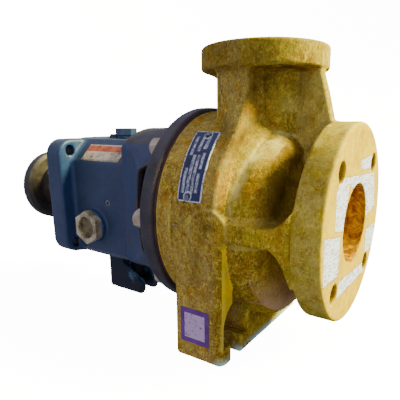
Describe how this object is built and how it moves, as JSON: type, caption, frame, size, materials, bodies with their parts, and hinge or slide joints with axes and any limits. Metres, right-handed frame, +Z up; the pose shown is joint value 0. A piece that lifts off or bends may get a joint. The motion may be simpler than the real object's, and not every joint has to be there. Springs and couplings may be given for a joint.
{
  "type": "centrifugal pump",
  "caption": "End-suction centrifugal process pump: moulded casing with suction and discharge flanges, adapter, blue bearing frame, turning shaft with impeller and coupling half.",
  "frame": {"origin": "base plane of the casing, midway between its two foot bolts and under the discharge centre line", "axes": "+X along the shaft towards the suction flange, +Z up along the discharge, +Y towards the far foot"},
  "size_m": [0.4675, 0.22, 0.2984],
  "materials": {
    "frp_casing": "moulded glass-fibre resin, mottled olive-yellow",
    "frp_inner": "moulded glass-fibre resin",
    "gasket_brown": "matte brown-red",
    "charcoal_paint": "worn charcoal paint on cast iron",
    "blue_paint": "satin dark blue paint on cast iron",
    "cream_zinc": "yellowed zinc plate",
    "plain_steel": "dull steel",
    "ground_steel": "ground stainless steel",
    "bearing_steel": "polished bearing steel",
    "cage_brass": "pressed brass",
    "black_rubber": "matte black rubber",
    "seal_ceramic": "polished ceramic",
    "seal_carbon": "dull carbon",
    "boss_plug_resin": "brown resin",
    "worn_nickel": "worn nickel plate",
    "clear_glass": "clear, faintly yellow",
    "reflector_cream": "matte cream",
    "coupling_iron": "dull olive-brown iron",
    "nameplate_blue": "dark blue enamel on aluminium",
    "label_violet": "violet film",
    "label_cream": "worn cream film"
  },
  "bodies": {
    "pump_body": {"casing": "frp_casing", "rear_cover": "frp_inner", "casing_gasket": "gasket_brown", "frame_adapter": "charcoal_paint", "bearing_frame": "blue_paint", "frame_foot": "blue_paint", "oil_fill_plug": "blue_paint", "casing_nuts": "cream_zinc", "casing_washers": "cream_zinc", "casing_studs": "cream_zinc", "gland_studs": "plain_steel", "gland_nuts": "plain_steel", "adapter_bolts": "plain_steel", "frame_foot_bolts": "plain_steel", "oil_drain_plug": "plain_steel", "frame_pipe_plugs": "plain_steel", "nameplate_screws": "plain_steel", "gland_plate": "ground_steel", "seal_seat_ring": "black_rubber", "inboard_oil_seal": "black_rubber", "seal_stationary_seat": "seal_ceramic", "boss_plugs": "boss_plug_resin", "sight_glass_bezel": "worn_nickel", "sight_glass_window": "clear_glass", "sight_glass_reflector": "reflector_cream", "nameplate": "nameplate_blue", "foot_label": "label_violet", "frame_label": "label_cream"},
    "bearing_cartridge": {"bearing_cartridge": "blue_paint", "thrust_outer_race": "bearing_steel", "inboard_outer_race": "bearing_steel", "bearing_retaining_ring": "bearing_steel", "cartridge_ring": "black_rubber", "outboard_oil_seal": "black_rubber", "cartridge_bolts": "plain_steel", "jack_bolts": "plain_steel", "jack_nuts": "plain_steel"},
    "rotor": {"shaft": "ground_steel", "shaft_sleeve": "ground_steel", "impeller": "frp_inner", "impeller_ring": "black_rubber", "seal_face_ring": "seal_carbon", "seal_bellows": "black_rubber", "seal_retainer": "ground_steel", "flinger": "seal_carbon", "inboard_inner_race": "bearing_steel", "thrust_inner_race": "bearing_steel", "bearing_lock_washer": "bearing_steel", "bearing_lock_nut": "bearing_steel", "coupling_half": "coupling_iron", "coupling_key": "plain_steel", "coupling_set_screw": "plain_steel"},
    "inboard_ball_set": {"inboard_balls": "bearing_steel", "inboard_cage": "cage_brass"},
    "thrust_ball_set": {"thrust_balls": "bearing_steel", "thrust_cages": "cage_brass"}
  },
  "joints": [
    {"name": "clearance_adjust", "type": "slide", "parent": "pump_body", "child": "bearing_cartridge", "axis": [1, 0, 0], "range_m": [-0.0005, 0.0005]},
    {"name": "shaft_spin", "type": "hinge", "parent": "bearing_cartridge", "child": "rotor", "pos_m": [-0.2, 0, 0.13335], "axis": [1, 0, 0], "continuous": true},
    {"name": "inboard_ball_roll", "type": "hinge", "parent": "bearing_cartridge", "child": "inboard_ball_set", "pos_m": [-0.2, 0, 0.13335], "axis": [1, 0, 0], "continuous": true},
    {"name": "thrust_ball_roll", "type": "hinge", "parent": "bearing_cartridge", "child": "thrust_ball_set", "pos_m": [-0.2, 0, 0.13335], "axis": [1, 0, 0], "continuous": true}
  ],
  "couplings": [
    {"joint": "inboard_ball_roll", "follows": "shaft_spin", "ratio": 0.396},
    {"joint": "thrust_ball_roll", "follows": "shaft_spin", "ratio": 0.407}
  ]
}
